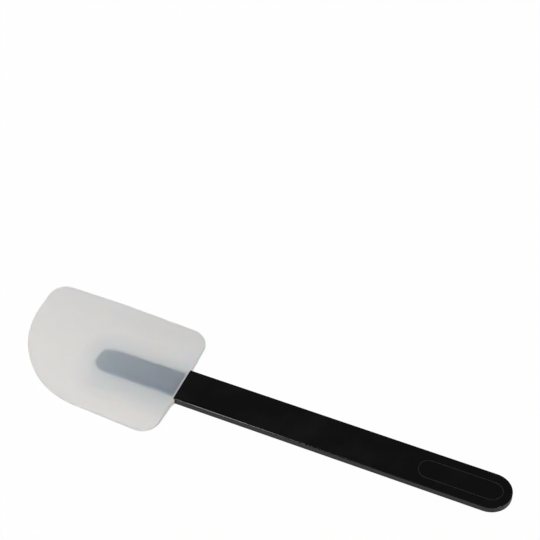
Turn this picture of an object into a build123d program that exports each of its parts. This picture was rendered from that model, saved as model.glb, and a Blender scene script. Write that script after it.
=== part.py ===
from build123d import *
from math import asin, atan2, cos, hypot, radians, sin, tan
import os

# A silicone spatula lying flat: a black moulded bar handle, whose tongue holds a milky silicone head.
# Millimetres. X runs along the handle to its butt, Y across the blade to its long straight edge, Z up.
# The two pieces are drawn about the shoulder, where the head meets the bar, on the bar's own line.
# They are then moved so that the origin is under the middle of the whole object, where it lies.

# Bar of the handle
handle_length = 175.0
handle_head_width = 20.5
handle_butt_width = 21.3
handle_thickness = 3.6
handle_edge_radius = 0.35

# Bare stadium line on top of the bar, near the butt
badge_length = 42.8
badge_width = 10.7
badge_butt_margin = 4.7
badge_groove_width = 0.6
badge_groove_depth = 0.25

# Tongue of the handle, inside the head
tongue_length = 47.0
tongue_root_width = 15.6
tongue_tip_width = 15.0
tongue_root_thickness = 1.9
tongue_tip_thickness = 1.2
tongue_corner_radius = 6.0
tongue_edge_radius = 0.4

# Outline of the head: runs forward from the shoulder, and reaches to each side of the bar's line
far_heel_reach = 36.0
far_bend_run = 50.0
far_bend_reach = 37.9
far_corner_run = 90.7
far_corner_reach = 37.7
front_corner_run = 91.1
front_corner_reach = 2.3
near_corner_run = 62.5
near_corner_reach = 31.5
near_heel_reach = 34.9
far_heel_radius = 10.6
far_bend_radius = 400.0
far_corner_radius = 9.3
near_heel_radius = 9.5

# How much of the edge between the front and near corners each of their two sweeping arcs takes
front_sweep_share = 0.5
near_sweep_share = 0.44

# Section of the head: a flat hub as thick as the bar, which falls on both faces to a thin blade
blade_thickness = 1.4
blade_rim_radius = 0.5
hub_blend_run = 11.0

# Lip at the mouth of the head, whose two cheeks grip the sides of the bar's end
lip_length = 0.8
lip_wall = 0.9
lip_corner_radius = 0.6
lip_flare_run = 3.6
mouth_edge_radius = 0.5

# Fit of the head on the tongue and the bar
socket_clearance = 0.1
socket_tip_clearance = 0.3
cut_overrun = 1.0

# Worked out from the sizes above
middle_height = handle_thickness / 2
lip_reach = handle_head_width / 2 + lip_wall
hub_flat_reach = lip_reach + lip_flare_run
hub_nose_run = tongue_length - tongue_root_width / 2

# A face counts as upright where its normal rises by less than this share of its length
upright_share = 0.5


def bar_outline():
    """Plan of the bar: two sides that run tangent into a half-round butt."""
    butt_radius = handle_butt_width / 2
    butt_x = handle_length - butt_radius
    half_width = handle_head_width / 2
    tilt = asin(butt_radius / hypot(butt_x, half_width)) - atan2(half_width, butt_x)
    side_end = (butt_x - butt_radius * sin(tilt), butt_radius * cos(tilt))
    side = Line((0, half_width), side_end)
    butt = ThreePointArc(side_end, (handle_length, 0), (side_end[0], -side_end[1]))
    end = Line((0, -half_width), (0, half_width))
    return make_face(side + butt + mirror(side, Plane.XZ) + end)


def badge_groove():
    """Round-bottomed groove along a stadium, sunk in the bar's top."""
    half_chord = badge_groove_width / 2
    radius = (half_chord**2 + badge_groove_depth**2) / (2 * badge_groove_depth)
    centre_x = handle_length - badge_butt_margin - badge_length / 2
    centre_z = handle_thickness + radius - badge_groove_depth
    path = (Pos(centre_x, 0, centre_z) * SlotOverall(badge_length, badge_width)).wire()
    section = Plane(origin=path @ 0, z_dir=path % 0) * Circle(radius)
    return sweep(section, path)


def tongue_form(gap, tip_gap):
    """Tapered tongue with a rounded tip, grown by a gap, which starts behind the shoulder."""
    tip_x = -tongue_length - tip_gap
    spread = 1 + cut_overrun / tongue_length
    tip = tongue_tip_width / 2 + gap
    root = tip + spread * (tongue_root_width - tongue_tip_width) / 2
    side = FilletPolyline(
        (cut_overrun, root), (tip_x, tip), (tip_x, -tip), (cut_overrun, -root),
        radius=tongue_corner_radius + gap,
    )
    plan = make_face(side + Line((cut_overrun, -root), (cut_overrun, root)))
    thin = tongue_tip_thickness / 2 + gap
    thick = thin + spread * (tongue_root_thickness - tongue_tip_thickness) / 2
    wedge = make_face(Polyline(
        (cut_overrun, thick), (tip_x, thin), (tip_x, -thin), (cut_overrun, -thick), close=True,
    ))
    form = extrude(plan, handle_thickness, both=True)
    form &= extrude(Plane.XZ * wedge, tongue_root_width, both=True)
    rims = form.edges().filter_by(Axis.Z, reverse=True)
    rims = rims.filter_by(lambda edge: edge.center().X < 0)
    return Pos(0, 0, middle_height) * fillet(rims, tongue_edge_radius + gap)


def handle():
    """Bar and tongue, one moulding."""
    bar = extrude(bar_outline(), handle_thickness)
    rims = bar.edges().filter_by(Axis.Z, reverse=True)
    rims = rims.filter_by(lambda edge: edge.bounding_box().max.X > cut_overrun)
    bar = fillet(rims, handle_edge_radius)
    return bar - badge_groove() + tongue_form(0, 0)


def sweep_radius(before, corner, after, tangent_run):
    """Radius of the arc that leaves both edges of a corner tangent_run away from it."""
    interior = (Vector(before) - corner).get_angle(Vector(after) - corner)
    return tangent_run * tan(radians(interior) / 2)


def head_outline():
    """Plan of the head, from the lip round the far heel, the front and the near heel."""
    far_corner = Vector(-far_corner_run, far_corner_reach)
    front_corner = Vector(-front_corner_run, -front_corner_reach)
    near_corner = Vector(-near_corner_run, -near_corner_reach)
    near_heel = Vector(0, -near_heel_reach)
    sweep_run = (near_corner - front_corner).length
    front_radius = sweep_radius(far_corner, front_corner, near_corner, front_sweep_share * sweep_run)
    near_radius = sweep_radius(front_corner, near_corner, near_heel, near_sweep_share * sweep_run)
    rim = FilletPolyline(
        (0, hub_flat_reach), (0, far_heel_reach), (-far_bend_run, far_bend_reach), far_corner,
        front_corner, near_corner, near_heel, (0, -hub_flat_reach),
        radius=[
            far_heel_radius, far_bend_radius, far_corner_radius,
            front_radius, near_radius, near_heel_radius,
        ],
    )
    flare = TangentArc((0, hub_flat_reach), (lip_length, lip_reach), tangent=(0, -1))
    mouth = Line((lip_length, -lip_reach), (lip_length, lip_reach))
    outline = make_face(rim + flare + mirror(flare, Plane.XZ) + mouth)
    return fillet(outline.vertices().group_by(Axis.X)[-1], lip_corner_radius)


def hub_section(reach):
    """Half section of the head: a flat hub, an S of two arcs down each face, and a flat blade."""
    hub, blade = middle_height, blade_thickness / 2
    waist = (hub_flat_reach + hub_blend_run / 2, (hub + blade) / 2)
    foot = (hub_flat_reach + hub_blend_run, blade)
    face = Line((0, hub), (hub_flat_reach, hub))
    face += TangentArc((hub_flat_reach, hub), waist, tangent=(1, 0))
    face += TangentArc(foot, waist, tangent=(-1, 0))
    face += Line(foot, (reach, blade))
    ends = Line((0, -hub), (0, hub)) + Line((reach, -blade), (reach, blade))
    return make_face(face + mirror(face, Plane.XZ) + ends)


def head_form():
    """Solid head before its seat and socket: the hub's two halves and round nose, cut to the outline."""
    section = hub_section(far_bend_reach + near_heel_reach + front_corner_run)
    nose = Pos(-hub_nose_run, 0, 0) * revolve(Plane.YZ * section, Axis.Z, 180)
    half = extrude(Plane.YZ * section, hub_nose_run + lip_length + cut_overrun)
    half = Pos(-hub_nose_run, 0, 0) * half
    form = nose + half + mirror(half, Plane.XZ)
    form &= extrude(head_outline(), handle_thickness, both=True)
    walls = form.faces().filter_by(lambda face: abs(face.normal_at().Z) < upright_share)
    form = fillet(walls.edges().filter_by(Axis.Z, reverse=True), blade_rim_radius)
    return Pos(0, 0, middle_height) * form


def bar_seat():
    """Space that the end of the bar takes between the two cheeks of the lip."""
    seat_width = handle_head_width + 2 * socket_clearance
    seat = Rectangle(lip_length + cut_overrun, seat_width, align=(Align.MIN, Align.CENTER))
    return Pos(0, 0, -cut_overrun) * extrude(seat, handle_thickness + 2 * cut_overrun)


def silicone_head():
    """Blade, hub, lip and socket, one moulding."""
    form = head_form() - bar_seat()
    mouth_edges = form.edges().filter_by(Axis.Y).sort_by(SortBy.LENGTH)[-2:]
    form = fillet(mouth_edges, mouth_edge_radius)
    return form - tongue_form(socket_clearance, socket_tip_clearance)


pieces = {"handle": handle(), "silicone_head": silicone_head()}
middle = Compound(list(pieces.values())).bounding_box().center()
os.makedirs("parts", exist_ok=True)
for name, piece in pieces.items():
    export_step(Pos(-middle.X, -middle.Y, 0) * piece, f"parts/{name}.step")
print("shoulder is at", -middle.X, -middle.Y)
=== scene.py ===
"""Looks of a silicone spatula that lies flat: a black nylon handle and a milky silicone head.

The handle's tongue shows through the head. Everything is in metres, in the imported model's frame: X runs
along the handle to its butt, Y across the blade, and Z up.
"""

import math

import bmesh
import bpy
import numpy as np
from bpy.props import FloatProperty, FloatVectorProperty, PointerProperty, StringProperty
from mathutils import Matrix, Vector


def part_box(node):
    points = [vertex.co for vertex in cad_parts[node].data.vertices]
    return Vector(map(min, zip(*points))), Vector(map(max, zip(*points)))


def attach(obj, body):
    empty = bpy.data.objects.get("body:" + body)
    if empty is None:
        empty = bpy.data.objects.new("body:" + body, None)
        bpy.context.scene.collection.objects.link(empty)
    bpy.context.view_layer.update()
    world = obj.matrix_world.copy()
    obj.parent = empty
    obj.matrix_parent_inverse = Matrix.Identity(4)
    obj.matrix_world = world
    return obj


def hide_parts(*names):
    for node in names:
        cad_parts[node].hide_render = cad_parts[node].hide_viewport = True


bl_info = {
    "name": "Silicone spatula",
    "version": (1, 0, 0),
    "blender": (4, 5, 0),
    "location": "3D View > Sidebar > Spatula",
    "description": "Finishes a packed silicone spatula: nylon handle, silicone head and a small studio",
    "category": "Object",
}

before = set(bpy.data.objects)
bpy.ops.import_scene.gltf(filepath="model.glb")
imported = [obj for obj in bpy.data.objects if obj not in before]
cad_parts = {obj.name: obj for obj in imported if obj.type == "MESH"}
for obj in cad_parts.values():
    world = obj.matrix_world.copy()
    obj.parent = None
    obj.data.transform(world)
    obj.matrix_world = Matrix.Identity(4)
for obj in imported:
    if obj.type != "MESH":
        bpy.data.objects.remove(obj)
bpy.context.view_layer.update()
HANDLE_LOW, HANDLE_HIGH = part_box("handle")
HEAD_LOW, HEAD_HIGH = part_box("silicone_head")
BAR_LINE = (HANDLE_LOW.y + HANDLE_HIGH.y) / 2
MM = 0.001


# Properties


def length(name, default, description):
    """A size in metres."""
    return FloatProperty(
        name=name, default=default, min=0, precision=5, unit="LENGTH", description=description,
    )


def corner(name, default, description):
    """A corner of the head's plan in metres from the bar's shoulder, where forward is negative."""
    return FloatVectorProperty(
        name=name, size=2, default=default, unit="LENGTH", description=description,
    )


def angle(name, default, description):
    """An angle, given in degrees."""
    return FloatProperty(
        name=name, default=math.radians(default), subtype="ANGLE", description=description,
    )


def watts(name, default, description):
    """Power of a lamp."""
    return FloatProperty(name=name, default=default, min=0, unit="POWER", description=description)


def colour(name, default, description):
    """An sRGB hex colour."""
    return StringProperty(name=name, default=default, maxlen=7, description=description)


class HeadSizes(bpy.types.PropertyGroup):
    """Sizes of the silicone head."""

    far_heel: corner("Far heel", (0, 0.0360), "Corner of the plan behind the long straight edge")
    far_bend: corner("Far bend", (-0.0500, 0.0379), "Slight bend of the long straight edge")
    far_corner: corner("Far corner", (-0.0907, 0.0377), "Corner of the plan at the tip's far side")
    front_corner: corner("Front corner", (-0.0911, -0.0023), "Corner that the front sweep rounds")
    near_corner: corner("Near corner", (-0.0625, -0.0315), "Corner that the near sweep rounds")
    near_heel: corner("Near heel", (0, -0.0349), "Corner of the plan on the near side of the bar")
    far_heel_radius: length("Far heel radius", 0.0106, "Radius of the far heel")
    far_bend_radius: length("Far bend radius", 0.4, "Radius of the bend in the long edge")
    far_corner_radius: length("Far corner radius", 0.0093, "Radius of the tip's far corner")
    front_radius: length("Front sweep radius", 0.04936, "Radius of the sweep at the front")
    near_radius: length("Near sweep radius", 0.04627, "Radius of the sweep on the near side")
    near_heel_radius: length("Near heel radius", 0.0095, "Radius of the near heel")
    blade_thickness: length("Blade thickness", 0.0014, "Thickness of the blade outside the hub")
    rim_radius: length("Rim radius", 0.0005, "Rounding of the blade's rim")
    nose_run: length("Hub nose", 0.0392, "From the mouth to the middle of the hub's round nose")
    hub_blend_run: length("Hub blend", 0.011, "Width of the slope from the hub to the blade")
    lip_length: length("Lip length", 0.0008, "How far the lip's cheeks reach along the bar")
    lip_wall: length("Lip wall", 0.0009, "Thickness of a cheek beside the bar")
    lip_flare_run: length("Lip flare", 0.0036, "How far the lip's root spreads to each side")
    lip_corner_radius: length("Lip corner radius", 0.0006, "Rounding of a cheek's outer corner")
    seat_edge_radius: length("Seat edge radius", 0.00015, "Rounding of the cheeks on the bar's side")


class SocketSizes(bpy.types.PropertyGroup):
    """Sizes of the socket that holds the tongue."""

    bar_width: length("Bar width", 0.0205, "Width of the bar's end between the cheeks")
    clearance: length("Clearance", 0.0001, "Gap between the bar and each cheek")
    root_width: length("Root width", 0.0158, "Width of the socket at its mouth")
    tip_width: length("Tip width", 0.0152, "Width of the socket at its tip")
    root_thickness: length("Root thickness", 0.0021, "Height of the socket at its mouth")
    tip_thickness: length("Tip thickness", 0.0014, "Height of the socket at its tip")
    depth: length("Depth", 0.0473, "Depth of the socket")
    corner_radius: length("Corner radius", 0.0061, "Radius of the tip's corners in plan")
    edge_radius: length("Edge radius", 0.0005, "Rounding along the socket's edges")


class Finish(bpy.types.PropertyGroup):
    """Colours of the two mouldings and of the paper under them."""

    nylon: colour("Nylon", "#0f0f10", "Black pigmented nylon of the handle")
    nylon_worn: colour("Handled nylon", "#181819", "The same nylon where handling has polished it grey")
    # Grey of the sunk line: dust, and also a painted highlight along that line
    nylon_dust_and_highlight: colour("Dusty nylon", "#161616", "The same nylon with fine dust in its sunk line")
    silicone: colour("Silicone", "#f9f9f8", "Milky silicone of the head")
    silicone_cloud: colour("Silicone cloud", "#f6f6f5", "The same silicone where it is a little denser")
    floor: colour("Floor", "#f2f2f2", "Plain pale floor")
    # Warm light painted on the paper close to the tongue, for rays in and through the object
    floor_painted_warm: colour("Warm glow", "#ffeec5", "Light that the paper sends up close to the tongue")


class StudioSizes(bpy.types.PropertyGroup):
    """Place of the camera and strength of the lamps."""

    azimuth: angle("Azimuth", 23.7524, "Camera's turn round the object, from the handle's near side")
    elevation: angle("Elevation", 46.8688, "Camera's height above the floor")
    distance: length("Distance", 1.050811, "From the camera to the point it looks at")
    aim: FloatVectorProperty(
        name="Aim", size=3, default=(-0.034540, 0.091362, 0), subtype="XYZ", unit="LENGTH",
        description="Point of the floor in the middle of the picture",
    )
    lens: FloatProperty(
        name="Lens", default=131.379, min=1, unit="CAMERA",
        description="Focal length in millimetres on a 36 mm sensor",
    )
    key: watts("Key", 6.0, "Power of the soft box above the head")
    side: watts("Side", 5.0, "Power of the low soft box beyond the tip")
    rear: watts("Rear", 5.0, "Power of the low soft box beyond the butt")
    room: FloatProperty(
        name="Room", default=0.18, min=0, description="Strength of the even light from the room",
    )


# Surfaces

# Steps along a plan: round the blade, round the lip and its seat, and round the socket
OUTLINE_STEP, MOUTH_STEP, SOCKET_STEP = 0.75 * MM, 0.2 * MM, 1.2 * MM
FEWEST_ARC_STEPS = 6

# How far the blade's outline stays within the CAD solid's, so that the piece stays in its box
BOX_MARGIN = 0.01 * MM

# Rows of the head: from its pole to the core loop, on to the start of the rim's rounding, and round it
CORE_SHARES = np.linspace(0, 1, 61)[:, None, None]
EDGE_SHARES = np.array((0.35, 0.7, 0.9, 1))[:, None, None]
RIM_ANGLES = np.radians(np.linspace(90, 0, 9))[1:, None]

# Inset of the core loop, and how much of a step across the bar a step along it counts for on that loop
CORE_INSET = 1.5 * MM
ALONG_SHARE = 0.3

# How fast the rim's rounding grows with the distance from a cheek
ROUNDING_GAIN = 0.5

# Grid of the mouth's back wall, and the rectangle in it that the outer skin leaves open for the
# socket's: it is this much wider and higher than the socket's mouth
SEAT_COLUMNS, WALL_ROWS = 24, 10
RING_MARGIN = 0.4 * MM, 0.2 * MM

# Points this close are one, faces this close to the mouth's plane are in it, and edges that turn by
# more than this are sharp
MERGE_DISTANCE, FLUSH_DISTANCE, SHARP_TURN = 1e-7, 1e-9, math.radians(50)


def rounded_path(points, radii, step):
    """Path through the points with rounded inner corners, and unit normals to the right of the way.

    Each arc leaves the run before and meets the run after at radius * tan(half the turn) from its
    corner, and its points are the centre plus the radius along a normal that turns evenly. Runs and
    arcs are cut into equal steps.
    """
    points = np.array(points, float)
    ways = np.diff(points, axis=0)
    ways /= np.linalg.norm(ways, axis=1)[:, None]
    start = points[0]
    path, normals = [points[:1]], [np.array([[ways[0, 1], -ways[0, 0]]])]
    for spot, before, after, radius in zip(points[1:-1], ways[:-1], ways[1:], radii):
        turn = math.atan2(before[0] * after[1] - before[1] * after[0], before @ after)
        steps = max(FEWEST_ARC_STEPS, math.ceil(radius * abs(turn) / step))
        heading = math.atan2(before[1], before[0]) + turn * np.linspace(0, 1, steps + 1)
        normal = np.stack((np.sin(heading), -np.cos(heading)), 1)
        foot = spot - before * radius * math.tan(abs(turn) / 2)
        arc = foot + math.copysign(radius, turn) * (normal - normal[0])
        run = cut_run(start, foot, step)
        path += [run, arc]
        normals += [np.tile(normal[0], (len(run), 1)), normal]
        start = arc[-1]
    run = np.vstack((cut_run(start, points[-1], step), points[-1]))
    path.append(run)
    normals.append(np.tile((ways[-1, 1], -ways[-1, 0]), (len(run), 1)))
    return np.concatenate(path), np.concatenate(normals)


def cut_run(start, end, step):
    """Points between the two ends, in equal steps."""
    count = math.ceil(np.linalg.norm(end - start) / step)
    return start + (end - start) * (np.arange(1, count) / max(count, 1))[:, None]


def mirrored(path, normals):
    """The same path on the other side of the bar's line, walked the other way."""
    flip = np.array((1, -1))
    return path[::-1] * flip, normals[::-1] * flip


def mouth_reaches(sizes, socket):
    """How far from the bar's line the seat's sides, the cheeks' outer sides and the lip's root lie.

    The flat of the hub is as wide as the lip's root.
    """
    lip_reach = socket.bar_width / 2 + sizes.lip_wall
    return socket.bar_width / 2 + socket.clearance, lip_reach, lip_reach + sizes.lip_flare_run


def head_half_thickness(plan, sizes, hub, flat_reach):
    """Half thickness of the head at points of its plan.

    The reach is the distance from the bar's line, and ahead of the nose from the line's end. The half
    thickness is the hub's up to flat_reach, and over the blend run it falls to the blade's on two equal
    arcs. With m half the run and n half the fall, their radius is (m^2 + n^2) / 2n, and at a distance q
    from the nearer end of the run an arc has left its own level by radius - sqrt(radius^2 - q^2).
    """
    reach = np.hypot(np.minimum(plan[..., 0] + sizes.nose_run, 0), plan[..., 1])
    blade = sizes.blade_thickness / 2
    run, fall = sizes.hub_blend_run, hub - blade
    radius = (run**2 + fall**2) / (4 * fall)
    gone = np.clip(reach - flat_reach, 0, run)
    drop = radius - np.sqrt(radius**2 - np.minimum(gone, run - gone) ** 2)
    return np.where(gone < run / 2, hub - drop, blade + drop)


def head_plan(sizes, socket, ring_width):
    """Closed plan of the head, its normals, and which of its points are in the mouth.

    The mouth is between the two flares. A flare leaves the head's back edge at a tangent and ends at
    the cheek's corner. With l the lip's length and f the flare's run, its arc has the radius
    (l^2 + f^2) / 2l and ends (l^2 + f^2) / 2f from its own corner. The radius is less by that of the
    cheek's corner, whose arc bends the other way and follows at once.
    """
    seat_reach, lip_reach, root_reach = mouth_reaches(sizes, socket)
    outline, outline_normals = rounded_path(
        [
            (0, root_reach), sizes.far_heel, sizes.far_bend, sizes.far_corner,
            sizes.front_corner, sizes.near_corner, sizes.near_heel, (0, -root_reach),
        ],
        [
            sizes.far_heel_radius, sizes.far_bend_radius, sizes.far_corner_radius,
            sizes.front_radius, sizes.near_radius, sizes.near_heel_radius,
        ],
        OUTLINE_STEP,
    )
    chord = sizes.lip_length**2 + sizes.lip_flare_run**2
    flare_radius = chord / (2 * sizes.lip_length) - sizes.lip_corner_radius
    flare_corner = chord / (2 * sizes.lip_flare_run) - root_reach
    near, near_normals = rounded_path(
        [
            (0, -root_reach), (0, flare_corner), (sizes.lip_length, -lip_reach),
            (sizes.lip_length, -seat_reach), (0, -seat_reach), (0, -ring_width / 2),
        ],
        [flare_radius, sizes.lip_corner_radius, sizes.seat_edge_radius, sizes.seat_edge_radius],
        MOUTH_STEP,
    )
    far, far_normals = mirrored(near, near_normals)
    back = np.linspace((0, -ring_width / 2), (0, ring_width / 2), SEAT_COLUMNS + 1)[1:-1]
    back_normals = np.tile((1.0, 0.0), (len(back), 1))
    blade = (outline - BOX_MARGIN * outline_normals)[:-1]
    plan = np.concatenate((blade, near, back, far[:-1]))
    normals = np.concatenate((outline_normals[:-1], near_normals, back_normals, far_normals[:-1]))
    return plan, normals, np.arange(len(plan)) >= len(blade)


def core_loop(sizes, socket, plan, normals, mouth, ring_width):
    """Loop inside the head's plan that its outer rows start from: the plan, moved in by CORE_INSET.

    Across the mouth it runs straight behind the cheeks instead, so that the rows there stay in the
    rubber. Its points are spread there by the way walked along the plan, on which a step along the bar
    counts for ALONG_SHARE of one across it. On each side three places tie that way to a reach, with the
    points between them in proportion: the lip's root, the back corner of the seat, for which the reach
    is a little greater, and the side of the ring.
    """
    seat_reach, _, root_reach = mouth_reaches(sizes, socket)
    across = plan[np.r_[np.flatnonzero(mouth), 0]]
    walked = np.insert(np.cumsum(np.abs(np.diff(across, axis=0)) @ (ALONG_SHARE, 1)), 0, 0)
    turn = root_reach - seat_reach + 2 * ALONG_SHARE * sizes.lip_length
    stops = np.array((0, turn, turn + seat_reach - ring_width / 2))
    reaches = -np.array((root_reach, seat_reach + 2 * sizes.seat_edge_radius, ring_width / 2))
    stops = np.append(stops, walked[-1] - stops[::-1])
    reaches = np.append(reaches, -reaches[::-1])
    core = plan - normals * CORE_INSET
    core[mouth, 0] = -CORE_INSET
    core[mouth, 1] = np.interp(walked[:-1], stops, reaches)
    return core


def rim_rounding(sizes, seat_reach, plan):
    """Radius of the rim's rounding at points of the plan.

    It is the seat's edge radius along the inner side of a cheek. From there it grows by ROUNDING_GAIN
    of the distance, to the blade's rim radius: across the seat's back wall, and outside from the
    cheek's end.
    """
    beyond = np.abs(plan[:, 1]) - seat_reach
    from_end = np.hypot(plan[:, 0] - sizes.lip_length, beyond) - sizes.seat_edge_radius
    away = np.where(beyond > 0, from_end, -beyond)
    growth = np.clip(ROUNDING_GAIN * away, 0, sizes.rim_radius - sizes.seat_edge_radius)
    return sizes.seat_edge_radius + growth


def pillow_rows(pole, core, edge, normals, rounding):
    """Plan and depth below the face of a moulding's rows, from its middle to its wall, for one face.

    The rows go by shares from the pole to the core loop and from there to the start of the rounding,
    and then round the rim. At an angle a above the wall the plan is inset by rounding * (1 - cos a),
    and the face has sunk by rounding * (1 - sin a).
    """
    inner = edge - normals * rounding[:, None]
    flat = np.concatenate((pole + (core - pole) * CORE_SHARES, core + (inner - core) * EDGE_SHARES))
    inset = rounding * (1 - np.cos(RIM_ANGLES))
    rows = np.concatenate((flat, edge - normals * inset[..., None]))
    sunk = np.concatenate((np.zeros(flat.shape[:2]), rounding * (1 - np.sin(RIM_ANGLES))))
    return rows, sunk


def head_skin(sizes, socket, hub, ring):
    """Outer skin of the head as one grid: round its plan, and from the top's middle to the bottom's.

    Its height is the head's half thickness, less what the rim's rounding has sunk. The bottom mirrors
    the top, and even rows of wall join them. Behind the bar the wall's outer rows lie on the ring's
    edges, and the faces inside the ring are left out, where the socket opens.
    """
    ring_width, ring_height = ring
    seat_reach, _, root_reach = mouth_reaches(sizes, socket)
    plan, normals, mouth = head_plan(sizes, socket, ring_width)
    core = core_loop(sizes, socket, plan, normals, mouth, ring_width)
    pole = np.array((-sizes.nose_run, 0.0))
    rows, sunk = pillow_rows(pole, core, plan, normals, rim_rounding(sizes, seat_reach, plan))
    top = head_half_thickness(rows, sizes, hub, root_reach) - sunk
    limit = ring_height / 2 / (hub - sizes.rim_radius)
    wall = top[-1] * np.linspace(limit, -limit, WALL_ROWS + 1)[:, None]
    heights = np.concatenate((top, wall, -top[::-1]))
    spread = np.concatenate((rows, np.tile(plan, (len(wall), 1, 1)), rows[::-1]))
    points = np.dstack((spread, heights))
    faces = grid_faces(points.shape[0], points.shape[1], True)
    points = points.reshape(-1, 3)
    middles = points[faces].mean(1)
    flush = np.abs(middles[:, 0]) < FLUSH_DISTANCE
    opening = flush & (np.abs(middles[:, 1:]) < np.array(ring) / 2).all(1)
    return points, faces[~opening]


def socket_skin(socket, ring):
    """Wall of the socket as one grid: along its plan from mouth to tip and back, and round its section.

    Half its height grows evenly from the tip to the mouth, and its edges are rounded as the rim is. Its
    first and last sections lie on the ring that the head's skin leaves open, which closes the wall
    round the mouth.
    """
    depth, radius = socket.depth, socket.edge_radius
    plan, normals = rounded_path(
        [
            (0, socket.root_width / 2), (-depth, socket.tip_width / 2),
            (-depth, -socket.tip_width / 2), (0, -socket.root_width / 2),
        ],
        [socket.corner_radius, socket.corner_radius],
        SOCKET_STEP,
    )
    # The end sections are square to the bar, so that they are flush with the seat
    normals[0], normals[-1] = (0, 1), (0, -1)
    spine = np.stack((np.maximum(plan[:, 0], socket.corner_radius - depth), 0 * plan[:, 1]), 1)
    half = SEAT_COLUMNS // 2
    shares = np.linspace(0, 1, half + 1)[:, None, None]
    angles = np.radians(np.linspace(90, 0, WALL_ROWS // 2 + 1))[1:-1, None]
    flat = spine + (plan - normals * radius - spine) * shares
    rim = plan - normals * (radius * (1 - np.cos(angles)))[..., None]
    spread = np.concatenate((flat, rim))
    tip, root = socket.tip_thickness / 2, socket.root_thickness / 2
    height = tip + (root - tip) * (spread[..., 0] + depth) / depth
    height[len(flat):] -= radius * (1 - np.sin(angles))
    side = plan[None]
    spread = np.concatenate((spread, side, spread[::-1]))
    points = np.dstack((spread, np.concatenate((height, 0 * side[..., 0], -height[::-1]))))
    far_end = ring_loop(ring, half)
    points = np.concatenate((far_end, points, far_end * (1, -1, 1)), 1)
    return points.reshape(-1, 3), grid_faces(points.shape[0], points.shape[1], False)


def ring_loop(ring, half):
    """Far half of the ring in the mouth's wall, as a section of the socket's grid.

    It goes out along the top, down the side and back along the bottom, on points of the head's skin.
    """
    across, up = np.array(ring) / 2
    out = np.linspace(0, across, half + 1)
    level = np.linspace(up, -up, WALL_ROWS + 1)[1:-1]
    loop = np.concatenate((
        np.stack((out, np.full(len(out), up)), 1),
        np.stack((np.full(len(level), across), level), 1),
        np.stack((out[::-1], np.full(len(out), -up)), 1),
    ))
    return np.insert(loop, 0, 0, 1)[:, None]


def grid_faces(rows, columns, closed):
    """Corner numbers of the four-sided faces between neighbouring rows and columns."""
    last = columns if closed else columns - 1
    down, across = np.meshgrid(np.arange(rows - 1), np.arange(last), indexing="ij")
    right = (across + 1) % columns
    below = np.stack((down, down + 1, down + 1, down), -1) * columns
    return (below + np.stack((across, across, right, right), -1)).reshape(-1, 4)


def new_piece(name, points, faces):
    """Mesh object that faces outwards, whose seams and poles are closed by merging their points."""
    mesh = bpy.data.meshes.new(name)
    mesh.from_pydata(points, [], faces)
    form = bmesh.new()
    form.from_mesh(mesh)
    bmesh.ops.remove_doubles(form, verts=form.verts, dist=MERGE_DISTANCE)
    bmesh.ops.recalc_face_normals(form, faces=form.faces)
    form.to_mesh(mesh)
    form.free()
    mesh.polygons.foreach_set("use_smooth", np.ones(len(mesh.polygons), bool))
    mesh.set_sharp_from_angle(angle=SHARP_TURN)
    piece = bpy.data.objects.new(name, mesh)
    bpy.context.scene.collection.objects.link(piece)
    return piece


# Materials

# Sockets that share a name on their node: a colour Mix's factor, two colours and result
FACTOR, FIRST, SECOND, MIXED = 0, 6, 7, 2
WHITE = "#ffffff"


def linear(code):
    """Linear colour with alpha 1 of an sRGB hex code."""
    part = np.array([int(code[i:i + 2], 16) for i in (1, 3, 5)]) / 255
    return (*np.where(part <= 0.04045, part / 12.92, ((part + 0.055) / 1.055) ** 2.4), 1.0)


def new_material(name):
    """Material without nodes, and its tree."""
    material = bpy.data.materials.new(name)
    material.use_nodes = True
    material.node_tree.nodes.clear()
    return material, material.node_tree


def add(tree, kind, links=None, values=None, **settings):
    """Adds a node of a kind with its settings, constant socket values and links from outputs.

    A socket goes by its name, or by its number where its node has several of that name.
    """
    made = tree.nodes.new(kind)
    for name, value in settings.items():
        setattr(made, name, value)
    for socket, value in (values or {}).items():
        made.inputs[socket].default_value = value
    for socket, output in (links or {}).items():
        tree.links.new(output, made.inputs[socket])
    return made


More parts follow.
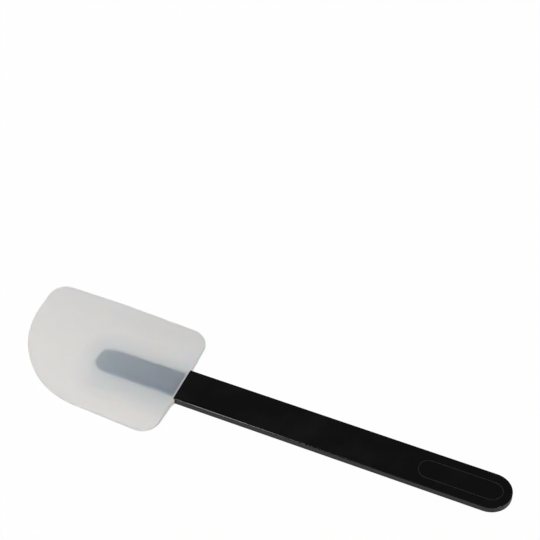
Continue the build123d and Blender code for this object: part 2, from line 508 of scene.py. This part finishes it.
def moulded_nylon(finish):
    """Black glass-filled nylon, injection moulded in a lightly blasted steel mould.

    To the eye: near black, satin, with a soft gloss line along its edges and faint cloudy marks of
    handling, about 20 mm across. Fine dust keeps the line sunk in its top matt and slightly grey, and
    that grey is also a painted highlight along the line.
    """
    # The blasted grain is really about 0.1 mm across, and is drawn coarser so that it shows
    mark_width, grain_width, grain_depth = 18 * MM, 0.7 * MM, 0.01 * MM
    # Roughness of the polished and the plain nylon, and how much the dust adds to it
    smoothest, dullest, dust_roughness = 0.12, 0.16, 0.4
    # The dust, whose grey is also a painted highlight, lies near the bar's line and behind dust_start. It
    # begins 0.03 mm under the bar's top and is full from 0.12 mm. Below 0.4 mm, as on the bar's
    # underside, there is none
    dust_half_width, dust_start = 7 * MM, 60 * MM
    dust_top, dust_full, dust_bottom = (HANDLE_HIGH.z - depth * MM for depth in (0.03, 0.12, 0.4))
    material, tree = new_material("black nylon, injection moulded")
    place = add(tree, "ShaderNodeTexCoord").outputs["Object"]
    marks = add(
        tree, "ShaderNodeTexNoise", {"Vector": place},
        {"Scale": 1 / mark_width, "Detail": 4, "Roughness": 0.6},
    )
    handled = add(
        tree, "ShaderNodeMapRange", {"Value": marks.outputs["Fac"]},
        {"From Min": 0.45, "From Max": 0.75},
    )
    tone = add(
        tree, "ShaderNodeMix", {FACTOR: handled.outputs["Result"]},
        {FIRST: linear(finish.nylon), SECOND: linear(finish.nylon_worn)}, data_type="RGBA",
    )
    axes = add(tree, "ShaderNodeSeparateXYZ", {"Vector": place}).outputs
    off_line = add(tree, "ShaderNodeMath", {0: axes["Y"]}, {1: BAR_LINE}, operation="SUBTRACT")
    aside = add(tree, "ShaderNodeMath", {0: off_line.outputs[0]}, operation="ABSOLUTE")
    central = add(
        tree, "ShaderNodeMath", {0: aside.outputs[0]}, {1: dust_half_width}, operation="LESS_THAN",
    )
    back = add(tree, "ShaderNodeMath", {0: axes["X"]}, {1: dust_start}, operation="GREATER_THAN")
    sunk = add(
        tree, "ShaderNodeMapRange", {"Value": axes["Z"]}, {"From Min": dust_top, "From Max": dust_full},
    )
    high = add(tree, "ShaderNodeMath", {0: axes["Z"]}, {1: dust_bottom}, operation="GREATER_THAN")
    spot = add(
        tree, "ShaderNodeMath", {0: central.outputs[0], 1: back.outputs[0]}, operation="MULTIPLY",
    )
    groove = add(tree, "ShaderNodeMath", {0: sunk.outputs[0], 1: high.outputs[0]}, operation="MULTIPLY")
    dust = add(tree, "ShaderNodeMath", {0: spot.outputs[0], 1: groove.outputs[0]}, operation="MULTIPLY")
    # The sunk line's grey is dust, and also a painted highlight along the line
    dusted_and_highlighted = add(
        tree, "ShaderNodeMix", {FACTOR: dust.outputs[0], FIRST: tone.outputs[MIXED]},
        {SECOND: linear(finish.nylon_dust_and_highlight)}, data_type="RGBA",
    )
    polish = add(
        tree, "ShaderNodeMapRange", {"Value": marks.outputs["Fac"]},
        {"From Min": 0.3, "From Max": 0.7, "To Min": smoothest, "To Max": dullest},
    )
    rough = add(
        tree, "ShaderNodeMath", {0: dust.outputs[0], 2: polish.outputs["Result"]}, {1: dust_roughness},
        operation="MULTIPLY_ADD",
    )
    grain = add(tree, "ShaderNodeTexNoise", {"Vector": place}, {"Scale": 1 / grain_width, "Detail": 2})
    bump = add(
        tree, "ShaderNodeBump", {"Height": grain.outputs["Fac"]},
        {"Strength": 0.25, "Distance": grain_depth},
    )
    shader = add(
        tree, "ShaderNodeBsdfPrincipled",
        {"Base Color": dusted_and_highlighted.outputs[MIXED], "Roughness": rough.outputs[0], "Normal": bump.outputs[0]},
        {"IOR": 1.53},
    )
    add(tree, "ShaderNodeOutputMaterial", {"Surface": shader.outputs["BSDF"]})
    return material


def moulded_silicone(finish, mouth):
    """Milky food silicone, compression moulded in a matt steel mould.

    To the eye: cloudy white with a soft satin surface, clear enough that what is inside or behind it
    shows as a blurred shade. Light goes a little less deep towards the tip, where the tongue looks
    paler, and it stays near the surface at the mouth, whose lip is whiter. Red light goes deepest and
    blue least, so the tongue looks blue-grey.
    """
    # The mould's grain is really about 0.1 mm across, and is drawn coarser so that it shows
    cloud_width, grain_width, grain_depth = 25 * MM, 0.8 * MM, 0.01 * MM
    depth_at_tip, depth_at_mouth, depth_in_lip = 8.5 * MM, 12.3 * MM, 0.1 * MM
    lip_fade_start, lip_fade_end = mouth - 1.1 * MM, mouth - 0.7 * MM
    material, tree = new_material("milky silicone, compression moulded")
    place = add(tree, "ShaderNodeTexCoord").outputs["Object"]
    cloud = add(
        tree, "ShaderNodeTexNoise", {"Vector": place},
        {"Scale": 1 / cloud_width, "Detail": 3, "Roughness": 0.55},
    )
    tone = add(
        tree, "ShaderNodeMix", {FACTOR: cloud.outputs["Fac"]},
        {FIRST: linear(finish.silicone), SECOND: linear(finish.silicone_cloud)}, data_type="RGBA",
    )
    grain = add(tree, "ShaderNodeTexNoise", {"Vector": place}, {"Scale": 1 / grain_width, "Detail": 2})
    bump = add(
        tree, "ShaderNodeBump", {"Height": grain.outputs["Fac"]},
        {"Strength": 0.2, "Distance": grain_depth},
    )
    along = add(tree, "ShaderNodeSeparateXYZ", {"Vector": place}).outputs["X"]
    inner = add(
        tree, "ShaderNodeMapRange", {"Value": along},
        {"From Min": HANDLE_LOW.x, "From Max": mouth, "To Min": depth_at_tip, "To Max": depth_at_mouth},
    )
    depth = add(
        tree, "ShaderNodeMapRange", {"Value": along, "To Min": inner.outputs[0]},
        {"From Min": lip_fade_start, "From Max": lip_fade_end, "To Max": depth_in_lip},
    )
    shader = add(
        tree, "ShaderNodeBsdfPrincipled",
        {
            "Base Color": tone.outputs[MIXED], "Normal": bump.outputs[0],
            "Subsurface Scale": depth.outputs[0],
        },
        {
            "Roughness": 0.45, "IOR": 1.41, "Transmission Weight": 0.2,
            "Subsurface Weight": 1.0, "Subsurface Radius": (1.5, 1.0, 0.65),
        },
    )
    add(tree, "ShaderNodeOutputMaterial", {"Surface": shader.outputs["BSDF"]})
    return material


def way_to_tongue(tree, place, tongue, offset):
    """Distance on the paper to a line along the tongue, or to one beside it, nearer by an offset."""
    start, end = tongue
    axes = add(tree, "ShaderNodeSeparateXYZ", {"Vector": place}).outputs
    nearest = add(tree, "ShaderNodeClamp", {"Value": axes["X"]}, {"Min": start, "Max": end})
    along = add(tree, "ShaderNodeMath", {0: axes["X"], 1: nearest.outputs[0]}, operation="SUBTRACT")
    aside = add(tree, "ShaderNodeMath", {0: axes["Y"]}, {1: BAR_LINE - offset}, operation="SUBTRACT")
    apart = add(tree, "ShaderNodeCombineXYZ", {"X": along.outputs[0], "Y": aside.outputs[0]})
    return add(tree, "ShaderNodeVectorMath", {0: apart.outputs[0]}, operation="LENGTH").outputs["Value"]


def pale_floor(finish, tongue):
    """Matt white paper sweep.

    To the eye: plain white, with only the dark line of shadow under the object's edges, because to the
    camera, and in and through the object, most of it is plain white light. To rays in and through the
    object its glow is painted, to stand in for the light that reaches it through the silicone: it glows
    less away from the soft boxes, has a painted shadow beside the tongue, and is painted warmer close to
    the tongue, where the silicone has kept most of the blue.
    """
    # Share of plain white in the paper as it is seen, as it lights the object, and as gloss mirrors it
    seen_white, lighting_white, mirrored_white = 0.98, 0.57, 0.2
    # Painted change of the glow for each metre along and across the bar, away from the soft boxes
    painted_glow_lean = (-2.0, -3.9, 0)
    # Painted shadow beside the tongue, on its near side: how much it takes, how far it reaches, and how
    # far aside its middle lies
    painted_shade_share, painted_shade_reach, painted_shade_offset = 0.5, 15 * MM, 12 * MM
    # The painted warm light is full within the first distance of the tongue's line, and gone at the
    # second
    painted_warm_full, painted_warm_none, painted_warm_strength = 9 * MM, 16 * MM, 1.15
    painted_warm_light = [painted_warm_strength * part for part in linear(finish.floor_painted_warm)]
    material, tree = new_material("white paper, matt")
    path = add(tree, "ShaderNodeLightPath").outputs
    seen = add(
        tree, "ShaderNodeMath", {0: path["Is Camera Ray"], 1: path["Is Transmission Ray"]},
        operation="MAXIMUM",
    )
    glow = add(
        tree, "ShaderNodeMath", {0: path["Is Diffuse Ray"]}, {1: lighting_white}, operation="MULTIPLY",
    )
    gloss = add(
        tree, "ShaderNodeMath", {0: path["Is Glossy Ray"], 2: glow.outputs[0]}, {1: mirrored_white},
        operation="MULTIPLY_ADD",
    )
    share = add(
        tree, "ShaderNodeMath", {0: seen.outputs[0], 2: gloss.outputs[0]}, {1: seen_white},
        operation="MULTIPLY_ADD",
    )
    place = add(tree, "ShaderNodeTexCoord").outputs["Object"]
    # Painted gradient of the paper's glow, for rays in and through the object
    painted_lean = add(tree, "ShaderNodeVectorMath", {0: place}, {1: painted_glow_lean}, operation="DOT_PRODUCT")
    # Painted shadow of the tongue on the paper, on the tongue's near side
    shade = add(
        tree, "ShaderNodeMapRange", {"Value": way_to_tongue(tree, place, tongue, painted_shade_offset)},
        {"From Max": painted_shade_reach, "To Min": painted_shade_share, "To Max": 0}, interpolation_type="SMOOTHSTEP",
    )
    # Painted warm light on the paper close to the tongue, for rays in and through the object
    painted_warmth = add(
        tree, "ShaderNodeMapRange", {"Value": way_to_tongue(tree, place, tongue, 0)},
        {"From Min": painted_warm_full, "From Max": painted_warm_none, "To Min": 1, "To Max": 0},
        interpolation_type="SMOOTHSTEP",
    )
    change = add(
        tree, "ShaderNodeMath", {0: painted_lean.outputs["Value"], 1: shade.outputs[0]}, operation="SUBTRACT",
    )
    inside = add(
        tree, "ShaderNodeMath", {0: path["Is Diffuse Ray"], 1: path["Is Transmission Ray"]},
        operation="MAXIMUM",
    )
    level = add(
        tree, "ShaderNodeMath", {0: inside.outputs[0], 1: change.outputs[0]}, {2: 1},
        operation="MULTIPLY_ADD",
    )
    warm = add(
        tree, "ShaderNodeMath", {0: inside.outputs[0], 1: painted_warmth.outputs[0]}, operation="MULTIPLY",
    )
    tone = add(
        tree, "ShaderNodeMix", {FACTOR: warm.outputs[0]}, {FIRST: linear(WHITE), SECOND: painted_warm_light},
        data_type="RGBA",
    )
    light = add(
        tree, "ShaderNodeEmission", {"Strength": level.outputs[0], "Color": tone.outputs[MIXED]},
    )
    paper = add(tree, "ShaderNodeBsdfDiffuse", values={"Color": linear(finish.floor)})
    mixed = add(
        tree, "ShaderNodeMixShader", {0: share.outputs[0], 1: paper.outputs[0], 2: light.outputs[0]},
    )
    add(tree, "ShaderNodeOutputMaterial", {"Surface": mixed.outputs[0]})
    return material


# Stage

# How far the paper runs to each side, and how far behind the tongue's tip the line of its painted shadow
# and warm light starts
PAPER_REACH = 4.0
PAINTED_GLOW_LINE_START = 9 * MM

# Soft boxes: the middle and the two sides of the lit face, and whether it hangs level
SOFT_BOXES = {
    "key": ((-0.377, -0.255, 1.2), (0.10, 1.0), True),
    "side": ((-1.15, 0.85, 0.65), (0.75, 0.75), False),
    "rear": ((1.3, -0.1, 0.5), (0.6, 0.6), False),
}

# Strength of the room's light in glossy surfaces
ROOM_MIRRORED = 0.05

# Millimetres, as the lens's focal length is
SENSOR_WIDTH = 36


def lay_floor(scene):
    """Lays a square of paper under the object."""
    reach = PAPER_REACH
    corners = [(-reach, -reach, 0), (reach, -reach, 0), (reach, reach, 0), (-reach, reach, 0)]
    mesh = bpy.data.meshes.new("floor")
    mesh.from_pydata(corners, [], [(0, 1, 2, 3)])
    floor = bpy.data.objects.new("floor", mesh)
    tongue = HANDLE_LOW.x + PAINTED_GLOW_LINE_START, HEAD_HIGH.x - scene.spatula_head.lip_length
    mesh.materials.append(pale_floor(scene.spatula_finish, tongue))
    scene.collection.objects.link(floor)


def hang_soft_box(scene, name, power):
    """Hangs a lamp with a rectangular face, level or turned to the middle of the object."""
    place, sides, level = SOFT_BOXES[name]
    lamp = bpy.data.lights.new(f"{name} soft box", "AREA")
    lamp.shape, lamp.energy = "RECTANGLE", power
    lamp.size, lamp.size_y = sides
    box = bpy.data.objects.new(lamp.name, lamp)
    box.location = place
    if not level:
        box.rotation_euler = (-Vector(place)).to_track_quat("-Z", "Y").to_euler()
    scene.collection.objects.link(box)


def light_room(scene, strength):
    """Sets a world that lights evenly.

    It is dim in glossy surfaces, and white to the camera and through the object.
    """
    world = bpy.data.worlds.new("room")
    world.use_nodes = True
    tree = world.node_tree
    tree.nodes.clear()
    path = add(tree, "ShaderNodeLightPath").outputs
    seen = add(
        tree, "ShaderNodeMath", {0: path["Is Camera Ray"], 1: path["Is Transmission Ray"]},
        operation="MAXIMUM",
    )
    dull = add(
        tree, "ShaderNodeMapRange", {"Value": path["Is Glossy Ray"]},
        {"To Min": strength, "To Max": ROOM_MIRRORED},
    )
    power = add(tree, "ShaderNodeMapRange", {"Value": seen.outputs[0], "To Min": dull.outputs[0]})
    light = add(
        tree, "ShaderNodeBackground", {"Strength": power.outputs["Result"]}, {"Color": linear(WHITE)},
    )
    add(tree, "ShaderNodeOutputWorld", {"Surface": light.outputs[0]})
    scene.world = world


def stand_camera(scene, studio):
    """Stands the camera at the distance from its aim, turned and raised by its two angles."""
    turn, rise = studio.azimuth, studio.elevation
    back = Vector((math.sin(turn) * math.cos(rise), -math.cos(turn) * math.cos(rise), math.sin(rise)))
    camera_data = bpy.data.cameras.new("camera")
    camera_data.sensor_width, camera_data.lens = SENSOR_WIDTH, studio.lens
    camera = bpy.data.objects.new("camera", camera_data)
    camera.location = Vector(studio.aim) + back * studio.distance
    camera.rotation_euler = (math.pi / 2 - rise, 0, turn)
    scene.collection.objects.link(camera)
    scene.camera = camera


# Operators


class SPATULA_OT_handle(bpy.types.Operator):
    """Give the handle its moulded nylon"""

    bl_idname = "spatula.handle"
    bl_label = "Handle"

    def execute(self, context):
        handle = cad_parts["handle"]
        handle.data.materials.clear()
        handle.data.materials.append(moulded_nylon(context.scene.spatula_finish))
        return {"FINISHED"}


class SPATULA_OT_head(bpy.types.Operator):
    """Make the silicone head, with the socket that takes the tongue"""

    bl_idname = "spatula.head"
    bl_label = "Head"

    def execute(self, context):
        sizes, socket = context.scene.spatula_head, context.scene.spatula_socket
        hub = (HEAD_HIGH.z - HEAD_LOW.z) / 2
        ring = socket.root_width + RING_MARGIN[0], socket.root_thickness + RING_MARGIN[1]
        skin, skin_faces = head_skin(sizes, socket, hub, ring)
        hole, hole_faces = socket_skin(socket, ring)
        mouth = HEAD_HIGH.x - sizes.lip_length
        points = np.concatenate((skin, hole)) + np.array((mouth, BAR_LINE, HEAD_LOW.z + hub))
        faces = np.concatenate((skin_faces, hole_faces + len(skin)))
        head = new_piece("head_moulding", points, faces)
        head.data.materials.append(moulded_silicone(context.scene.spatula_finish, mouth))
        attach(head, "head")
        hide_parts("silicone_head")
        return {"FINISHED"}


class SPATULA_OT_stage(bpy.types.Operator):
    """Lay the floor, hang the soft boxes and set the camera"""

    bl_idname = "spatula.stage"
    bl_label = "Stage"

    def execute(self, context):
        scene, studio = context.scene, context.scene.spatula_studio
        lay_floor(scene)
        for name in SOFT_BOXES:
            hang_soft_box(scene, name, getattr(studio, name))
        light_room(scene, studio.room)
        stand_camera(scene, studio)
        scene.view_settings.view_transform = "Standard"
        return {"FINISHED"}


class SPATULA_PT_sidebar(bpy.types.Panel):
    """Sizes, colours and steps of the spatula"""

    bl_idname = "SPATULA_PT_sidebar"
    bl_label = "Silicone spatula"
    bl_space_type = "VIEW_3D"
    bl_region_type = "UI"
    bl_category = "Spatula"

    def draw(self, context):
        for step in STEPS:
            self.layout.operator(step.bl_idname)
        for name in GROUPS:
            group = getattr(context.scene, name)
            box = self.layout.box()
            for size in group.bl_rna.properties:
                if size.identifier not in ("rna_type", "name"):
                    box.prop(group, size.identifier)


GROUPS = {
    "spatula_head": HeadSizes,
    "spatula_socket": SocketSizes,
    "spatula_finish": Finish,
    "spatula_studio": StudioSizes,
}
STEPS = (SPATULA_OT_handle, SPATULA_OT_head, SPATULA_OT_stage)


def register():
    for kind in (*GROUPS.values(), *STEPS, SPATULA_PT_sidebar):
        bpy.utils.register_class(kind)
    for name, group in GROUPS.items():
        setattr(bpy.types.Scene, name, PointerProperty(type=group))


def unregister():
    for name in GROUPS:
        delattr(bpy.types.Scene, name)
    for kind in (SPATULA_PT_sidebar, *STEPS, *GROUPS.values()):
        bpy.utils.unregister_class(kind)


def main():
    register()
    bpy.ops.spatula.handle()
    bpy.ops.spatula.head()
    bpy.ops.spatula.stage()


if __name__ == "__main__":
    main()
